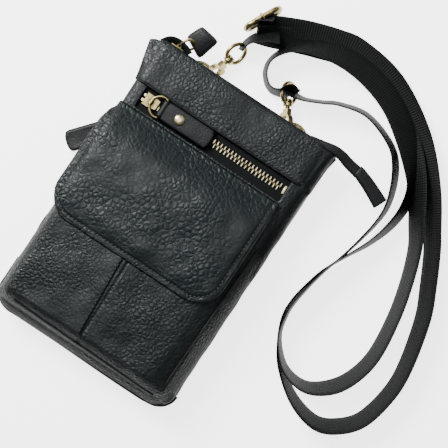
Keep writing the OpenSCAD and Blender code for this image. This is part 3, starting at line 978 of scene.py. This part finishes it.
def build_zips():
    chain_teeth("front", FRONT_ZIP, -2, 38)
    chain_teeth("top", TOP_ZIP, -2, 44)
    chain_teeth("back", BACK_ZIP, -1, 38)
    tapes("front", FRONT_ZIP, -8, 98, 8.6)
    tapes("top", TOP_ZIP, -7, 112, 3.9)
    tapes("back", BACK_ZIP, -6.5, 102, 8.5)
    for zip_name in ("front", "top", "back"):
        refined(f"{zip_name}_zip_stops", PALE_BRASS, 0.25)
        refined(f"{zip_name}_zip_slider", BRASS, 0.3)
    wire_ring("front_ring_wire", through(FRONT_ZIP, RING_LOOP), 0.82, "front_ring", "front_pull_ring")
    wire_ring("back_ring_wire", through(BACK_PULL, RING_LOOP), 0.82, "back_ring", "back_pull_ring")
    pull_tab("front_tab_leather", FRONT_ZIP, 34.5, 11.6, "front_tab", "front_pull_tab", 1.35, 2.6)
    pull_tab("back_tab_leather", BACK_PULL, 33.5, 11.6, "back_tab", "back_pull_tab", 0.95, 2.2, -1)
    rivet("front_rivet_cap", FRONT_ZIP, "front_tab", "front_tab_rivet", 1.75)
    rivet("back_rivet_cap", BACK_PULL, "back_tab", "back_tab_rivet", 0.8)
    build_top_pull()
    build_top_tape_ends()


def rivet(name, at, body, node, height):
    """A domed rivet through a pull tab."""
    rings = [(1.4, -1.5), (3.1, 0.9), (3.3, 1.3), (2.9, 1.75), (1.9, 2.15), (0.9, 2.3)]
    sides = 28
    centre = np.array((RING_REACH + RIVET_PAST_BAR, 0, PULL_Z + height - 1.1))
    points = []
    for radius, z in rings:
        points += [at @ Vector(centre + (radius * u, radius * v, z)) for u, v in circle(sides)]
    made = add_mesh(name, points, tube_faces(len(rings), sides), PALE_BRASS, body)
    fix_normals(made)
    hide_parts(node)


def build_top_pull():
    """The top pull: its ring leans over and its short tab turns its face to the front."""
    loop = [(-52, 97.05, 15.6), (-52, 97.05, 19.0), (-51.2, 100, 20.4), (-48.6, 103.2, 20.4),
            (-45.4, 103.9, 19.4), (-43.9, 101.8, 17.6), (-45.6, 99.2, 15.8), (-49.2, 97.6, 14.7)]
    wire_ring("top_ring_wire", loop, 0.85, "top_ring", "top_pull_ring")
    near_left, near_right = np.array((-50.2, 104.3, 18.6)), np.array((-38.6, 98.6, 16.6))
    far_left, far_right = np.array((-46.4, 112.6, 20.6)), np.array((-35.0, 110.6, 19.2))
    grid = []
    for t in np.linspace(0, 1, 14):
        line = []
        for u in np.linspace(0, 1, 12):
            near = near_left * (1 - u) + near_right * u
            far = far_left * (1 - u) + far_right * u
            arch = 0.9 * math.sin(math.pi * u) + 0.4 * math.sin(math.pi * t)
            line.append(near * (1 - t) + far * t + np.array((0, 0, arch)))
        grid.append(line)
    tab = slab("top_tab_leather", np.array(grid), 3.2, SMOOTH_LEATHER, "top_tab")
    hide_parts("top_pull_tab")


def build_top_tape_ends():
    """The tape bunched up beside the slider, and the covered tail with its leather end."""
    bunch = [(-61.0, 92.6, 17.5, 35), (-58.2, 96.8, 18.2, 50), (-53.5, 98.4, 18.2, 60),
             (-48.0, 97.6, 17.6, 60), (-44.5, 95.8, 17.2, 55)]
    ribbon("top_tape_bunch", bunch, 7.5, TAPE, "pouch", thick=2.0, step=0.8)
    tail = [(44, 93.4, 19.8, 0), (52, 94.6, 20.4, 0), (60, 96.0, 20.2, 4), (66, 95.6, 19.2, 6),
            (72, 94.1, 18.0, 4), (80, 92.8, 17.0, 0)]
    cover = ribbon("top_tail_cover", tail, 5.0, SMOOTH_LEATHER, "pouch", thick=3.4, step=1.0, width_end=7.2)
    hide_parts("top_zip_tail")
    end = [(78.5, 93.4, 17.2, 0), (81, 92.9, 17.2, 0), (90, 89.6, 16.2, -4), (101, 84.6, 15.2, -6)]
    tip = ribbon("tail_end_leather", end, 7.6, SMOOTH_LEATHER, "pouch", thick=4.0, step=1.0, width_end=9.4)
    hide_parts("tail_end_tab")


# ---- rings and clasps ----


# For each side: the keeper's X, and the frame of the clasp, whose swivel runs along Y.
SIDES = (("left", -33.5, placed((-26.85, 96.45, 6), ("Z", -16), ("Y", 50))),
         ("right", 34.5, placed((26.6, 95.2, 6), ("Z", 28), ("Y", 50))))
ADJUSTER = placed((-20, 140, 6.5), ("Z", 63.4), ("X", 82))


def build_hardware():
    for side, x, _ in SIDES:
        build_keeper(side, x)
        for part, bevel in (("dring", 0), ("hook", 0.55), ("gate", 0.25), ("gate_pin", 0.15)):
            refined(f"{part}_{side}", BRASS, bevel)
    for side, _, at in SIDES:
        build_eye(side, at)
    build_adjuster()


def build_keeper(side, x):
    """A leather loop sewn inside the back, which turns over the D-ring's bar."""
    path = [(74.5, 7.4), (82, 8.4), (86.4, 10.4), (88.4, 10.8), (90.1, 9.2), (89.4, 7.3), (87.2, 6.5),
            (83, 6.6), (75, 5.8)]
    line = curve_points([(x, y, z) for y, z in path], 0.7)
    half = 6.7
    grid = [[point + np.array((u * half, 0, 0)) for u in np.linspace(-1, 1, 9)] for point in line]
    keeper = slab(f"keeper_loop_{side}", np.array(grid), 1.0, SMOOTH_LEATHER, "pouch")
    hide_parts(f"keeper_{side}")


def build_eye(side, at):
    """The strap's eye: a bent wire that rises from a round collar."""
    half = [(1.6, 11.6, 0), (4.6, 12.9, 0), (6.3, 15.6, 0), (6.2, 19.4, 0), (4.0, 22.9, 0)]
    loop = half + [(0, 24.2, 0)] + [(-x, y, z) for x, y, z in reversed(half)]
    wire = tube(f"eye_wire_{side}", through(at, loop), 1.25, BRASS, f"eye_{side}", step=0.5, sides=14)
    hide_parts(f"eye_{side}")
    neck = [(0, 9.9, 0), (0, 11.3, 0), (0, 12.8, 0)]
    tube(f"eye_collar_{side}", through(at, neck), 3.0, BRASS, f"eye_{side}", sides=20)


def build_adjuster():
    """A thick brass slide that stands on edge, with a collar at its middle."""
    radius = 4.6
    loop = []
    for side in (1, -1):
        for a in np.radians(np.linspace(-80, 80, 9)):
            loop.append((side * (7.2 + radius * math.cos(a)), side * radius * math.sin(a), 0))
        loop += [(side * x, side * radius, 0) for x in (3, 0, -3)]
    slide = tube("adjuster_slide_frame", through(ADJUSTER, loop), 1.75, BRASS, "adjuster",
                 closed=True, step=0.6, sides=16)
    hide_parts("adjuster_frame")
    bar = [(-10.6, 0, 0), (0, 0, 0), (10.6, 0, 0)]
    tube("adjuster_bar", through(ADJUSTER, bar), 1.1, BRASS, "adjuster")
    collar = [(0, radius + 2.1 * u, 2.1 * v) for u, v in circle(12)]
    tube("adjuster_collar", through(ADJUSTER, collar), 0.7, BRASS, "adjuster", closed=True, step=0.5)


# ---- strap ----

STRAP_W = 15.0
# Guide rows of the two strands: X, Y, the lean of the width in degrees, and the lower edge's height.
OUTER = [(-20.5, 134.8, 50, 1.0), (-14, 138.5, 34, 2.0), (-6, 142.3, 22, 2.4), (8, 148.5, 12, 2.6),
         (25, 154, 8, 2.6), (40, 156.4, 8, 2.6), (68, 151.5, 8, 2.6), (98, 134, 14, 2.4),
         (122, 110, 36, 1.6), (138, 88, 50, 0.6), (144.5, 78, 54, 0.6), (154.2, 59, 55, 0.6),
         (162.1, 41, 57, 0.6), (169.0, 12, 60, 0.6), (170, -8, 60, 0.6), (165, -30, 58, 0.6),
         (154, -42.5, 56, 0.6), (141.5, -47.4, 58, 0.6), (124, -43, 64, 0.6), (107, -31.5, 72, 0.6),
         (98, -20.5, 76, 0.6), (90.8, -5.5, 78, 0.6), (89.8, 8, 78, 0.6), (93.5, 27, 80, 0.6),
         (97.5, 38, 82, 0.6), (103.5, 50, 80, 0.6), (109.5, 62, 74, 0.6), (114, 76, 66, 0.6),
         (115.5, 90, 60, 0.6), (113, 104, 52, 0.6), (106, 116, 34, 3.0), (94, 127.5, 18, 4.4),
         (74, 140.5, 10, 4.6), (53, 147, 12, 4.6), (33, 147.5, 22, 4.4), (15, 142, 42, 3.4),
         (4, 134, 62, 2.0), (-2.2, 123, 76, 1.0), (-1.4, 114.5, 80, 0.8), (3.4, 108.6, 82, 0.6),
         (8.5, 106.6, 80, 0.6), (13.5, 108.2, 74, 0.6), (17.2, 111.5, 60, 0.8)]
INNER = [(-18, 130, 52, 0.6), (-10, 134, 34, 0.6), (0, 138.8, 20, 0.6), (16, 145, 10, 0.6),
         (36, 150.0, 6, 0.6), (66, 145.5, 6, 0.6), (92, 130, 16, 0.6), (113, 109, 44, 0.6),
         (128, 85.5, 58, 0.6), (134.5, 74, 62, 0.6), (141, 56, 64, 0.6), (146.5, 34, 64, 0.6),
         (149.5, 8, 62, 0.6), (146.5, -10, 60, 0.6), (138.5, -24, 58, 0.6), (125, -32.6, 64, 0.6),
         (109, -30, 72, 0.6), (96, -17, 78, 1.6), (91.6, -3, 80, 2.4), (91.6, 10, 80, 3.0),
         (95.2, 30, 82, 3.0), (101, 50, 82, 2.4), (106, 74, 76, 0.6), (105.5, 90, 68, 0.6),
         (98, 108, 64, 0.6), (87, 119, 66, 0.6), (66, 126, 70, 0.6), (48, 122.5, 74, 0.6),
         (38, 117.4, 76, 0.6), (28, 113, 74, 0.6), (21, 112, 62, 1.2), (18, 113.5, 40, 2.0)]


def strap_rows(guide):
    """Guide rows with the strap's middle lifted so that its lower edge stays at the height given."""
    return [(x, y, low + STRAP_W / 2 * math.sin(math.radians(lean)), lean) for x, y, lean, low in guide]


def strap_to_eye(name, guide, split):
    """A strand whose last stretch, past the split point, is a separate piece between the pouch and the right
    eye.
    """
    rows = curve_points(strap_rows(guide), 1.2)
    last = len(rows) * 3 // 4
    away = np.hypot(rows[last:, 0] - split[0], rows[last:, 1] - split[1])
    cut = last + int(away.argmin())
    run = ribbon_along(f"{name}_run", rows[:cut + 1], STRAP_W, WEBBING, "pouch")
    bent = ribbon_along(f"{name}_end", rows[cut:], STRAP_W, WEBBING, None)
    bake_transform(bent)
    return run


def build_strap():
    """The two long strands, the turn through the right eye, the sewn left end and the adjuster's loop."""
    outer = strap_to_eye("strap_outer", OUTER, (15, 142))
    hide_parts("strap_webbing")
    strap_to_eye("strap_inner", INNER, (66, 126))
    turn = [(13.2, 107.8, 7.8, 74), (16, 110.4, 8.2, 62), (18.6, 113.2, 8.2, 58), (22, 112.6, 7.8, 70)]
    turned = ribbon("strap_turn_webbing", turn, 12.0, WEBBING, "eye_right", step=0.6)
    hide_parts("strap_turn_right")
    twisted = [(-6, 137, 8.0, 38), (-12.5, 132.5, 8.0, 46), (-17.5, 127.5, 7.6, 54), (-20.3, 122.5, 7.2, 62),
               (-20.9, 116.5, 6.8, 68)]
    left_end = ribbon("strap_left_twist", twisted, STRAP_W, WEBBING, None, step=0.6, width_end=9.5)
    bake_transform(left_end)
    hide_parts("strap_end_left")
    along = math.radians(30)
    anchor = [(-20 + out * math.cos(along), 140 + out * math.sin(along), z, lean)
              for out, z, lean in ((7, 10.6, 62), (2, 9.6, 66), (-2.4, 8.4, 66), (4, 4.4, 62))]
    loop = ribbon("strap_anchor_webbing", anchor, 12.0, WEBBING, "adjuster", step=0.6)
    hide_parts("strap_anchor_loop")


# ---- room ----

FLOOR_Z = -0.6
FLOOR_REACH = 4000
# Each lamp's name, place in millimetres, size in metres and power in watts.
LAMPS = (("key", (-560, 240, 560), 0.35, 15),
         ("fill", (260, 620, 760), 0.7, 1.2),
         ("top", (-160, 60, 1100), 0.5, 4))


def build_room():
    """A pale floor, a dim white surround and three soft lamps aimed at the pouch."""
    corners = [(x * FLOOR_REACH, y * FLOOR_REACH, FLOOR_Z) for x, y in ((-1, -1), (1, -1), (1, 1), (-1, 1))]
    floor = add_mesh("floor", corners, [(0, 1, 2, 3)], FLOOR, None, smooth=False)
    world = bpy.data.worlds.new("white_room")
    world.use_nodes = True
    light = world.node_tree.nodes["Background"].inputs
    light["Color"].default_value = (1, 1, 1, 1)
    light["Strength"].default_value = 0.14
    bpy.context.scene.world = world
    for name, at, size, power in LAMPS:
        lamp = bpy.data.lights.new(name, "AREA")
        lamp.energy = power
        lamp.size = size
        holder = bpy.data.objects.new(name, lamp)
        holder.location = Vector(at) * MM
        aim = Vector((20, 20, 10)) * MM - holder.location
        holder.rotation_euler = aim.to_track_quat("-Z", "Y").to_euler()
        bpy.context.collection.objects.link(holder)


def build_camera():
    """Straight above, turned so that the pouch leans to the right in the picture."""
    seen, lens, sensor = 268.8, 100.0, 36.0
    camera = bpy.data.cameras.new("camera")
    camera.lens = lens
    camera.sensor_width = sensor
    holder = bpy.data.objects.new("camera", camera)
    holder.location = Vector((29.2, 22.7, 18 + seen * lens / sensor)) * MM
    holder.rotation_euler = (0, 0, math.radians(33.5))
    bpy.context.collection.objects.link(holder)
    bpy.context.scene.camera = holder


build_pouch()
build_top_band()
build_pocket()
build_window_stitching()
build_bottom_binding()
build_flap()
build_zips()
build_hardware()
build_strap()
build_room()
build_camera()
bpy.context.view_layer.update()
